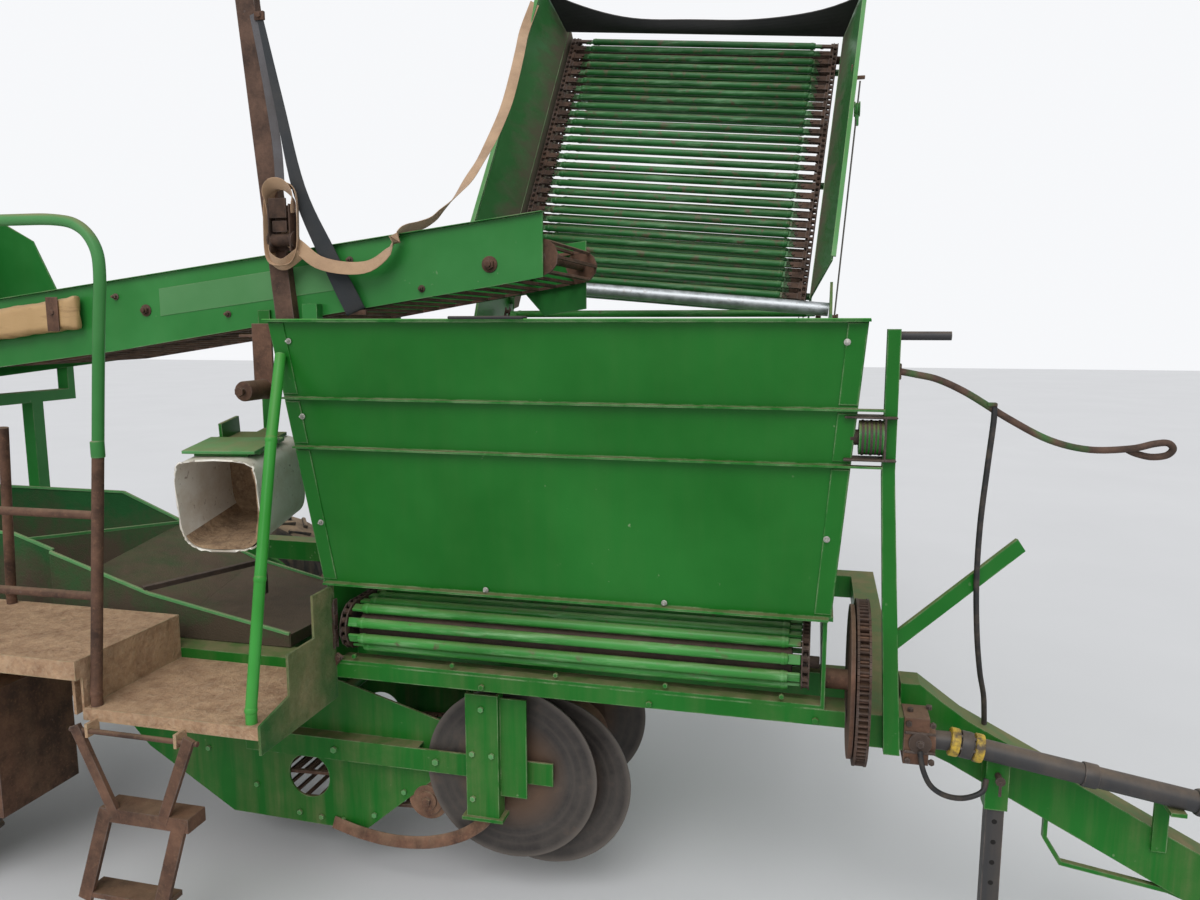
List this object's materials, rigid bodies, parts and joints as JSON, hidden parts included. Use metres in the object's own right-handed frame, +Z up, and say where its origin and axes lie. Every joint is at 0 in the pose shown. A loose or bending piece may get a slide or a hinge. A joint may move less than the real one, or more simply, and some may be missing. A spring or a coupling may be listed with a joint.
{
  "type": "trailed potato harvester",
  "caption": "Trailed one-row potato harvester with digging unit, sieving webs, picking conveyor, bunker and a folding crosswise unloading elevator, on two wheels and a drawbar jack.",
  "frame": {"origin": "on the ground, at the middle of the machine's length and width", "axes": "+X forward towards the tow eye, +Y to the machine's left towards the unloading elevator, +Z up"},
  "size_m": [6.05, 3.14, 3.7904],
  "materials": {
    "green_paint": "worn gloss enamel",
    "bright_green": "worn lighter enamel",
    "rusty_steel": "rusty, matte",
    "bare_steel": "ground bright at the edge, rusty at the hub",
    "galvanised": "dull zinc",
    "black_rubber": "matte, dusty",
    "tyre_rubber": "matte, dusty",
    "pad_vinyl": "worn tan vinyl",
    "white_plastic": "translucent, dirty",
    "black_steel": "worn black paint",
    "dirty_deck": "worn paint under dried soil"
  },
  "bodies": {
    "root": {"main_frame": "green_paint", "axle": "rusty_steel", "drawbar": "green_paint", "tow_eye": "rusty_steel", "gearbox": "rusty_steel", "drive_shaft": "black_steel", "bunker_frame": "green_paint", "bunker_shell": "green_paint", "floor_web": "bright_green", "cross_tube": "galvanised", "web_drive_wheel": "rusty_steel", "front_post": "green_paint", "control_lever": "black_steel", "hose_rod": "green_paint", "web_channel": "green_paint", "second_web": "rusty_steel", "rear_elevator": "green_paint", "rear_elevator_web": "rusty_steel", "picking_frame": "green_paint", "picking_belt": "rusty_steel", "lean_pad": "pad_vinyl", "platform": "dirty_deck", "guard_rail": "rusty_steel", "hand_hoop": "bright_green", "grab_rail": "bright_green", "stone_box": "rusty_steel", "waste_chute": "white_plastic", "chute_bracket": "green_paint", "strap_post": "rusty_steel"},
    "wheel_right": {"tyre_right": "tyre_rubber", "rim_right": "bright_green"},
    "wheel_left": {"tyre_left": "tyre_rubber", "rim_left": "bright_green"},
    "digging_unit": {"digging_frame": "green_paint", "share": "bare_steel", "digging_web": "rusty_steel"},
    "outer_disc": {"disc_outer": "bare_steel"},
    "inner_disc": {"disc_inner": "bare_steel"},
    "far_disc": {"disc_far": "bare_steel"},
    "ridge_roller": {"ridge_roller": "rusty_steel"},
    "discharge_elevator": {"discharge_frame": "green_paint", "discharge_web": "bright_green", "rubber_apron": "black_rubber"},
    "jack": {"jack_leg": "black_steel"},
    "ladder": {"ladder": "rusty_steel"}
  },
  "joints": [
    {"name": "wheel_right_spin", "type": "hinge", "parent": "root", "child": "wheel_right", "pos_m": [-1.65, -1.27, 0.4225], "axis": [0, 1, 0], "continuous": true},
    {"name": "wheel_left_spin", "type": "hinge", "parent": "root", "child": "wheel_left", "pos_m": [-1.65, 1.1, 0.4225], "axis": [0, 1, 0], "continuous": true},
    {"name": "digging_unit_lower", "type": "hinge", "parent": "root", "child": "digging_unit", "pos_m": [-1.08, -0.6, 0.72], "axis": [0, 1, 0], "range_deg": [0, 12]},
    {"name": "outer_disc_spin", "type": "hinge", "parent": "digging_unit", "child": "outer_disc", "pos_m": [0.593, -0.944, 0.48], "axis": [0, 1, 0], "continuous": true},
    {"name": "inner_disc_spin", "type": "hinge", "parent": "digging_unit", "child": "inner_disc", "pos_m": [0.697, -0.86, 0.44], "axis": [0, 1, 0], "continuous": true},
    {"name": "far_disc_spin", "type": "hinge", "parent": "digging_unit", "child": "far_disc", "pos_m": [0.657, -0.43, 0.48], "axis": [0, 1, 0], "continuous": true},
    {"name": "ridge_roller_spin", "type": "hinge", "parent": "digging_unit", "child": "ridge_roller", "pos_m": [0.697, -0.65, 0.44], "axis": [0, 1, 0], "continuous": true},
    {"name": "discharge_lower", "type": "hinge", "parent": "root", "child": "discharge_elevator", "pos_m": [0.79438, 0.7671, 2.06124], "axis": [-0.9962, 0, 0.0872], "range_deg": [0, 45]},
    {"name": "jack_slide", "type": "slide", "parent": "root", "child": "jack", "axis": [0, 0, 1], "range_m": [0, 0.45]},
    {"name": "ladder_fold", "type": "hinge", "parent": "root", "child": "ladder", "pos_m": [-0.3225, -1.558, 0.79], "axis": [-1, 0, 0], "range_deg": [0, 170]}
  ]
}
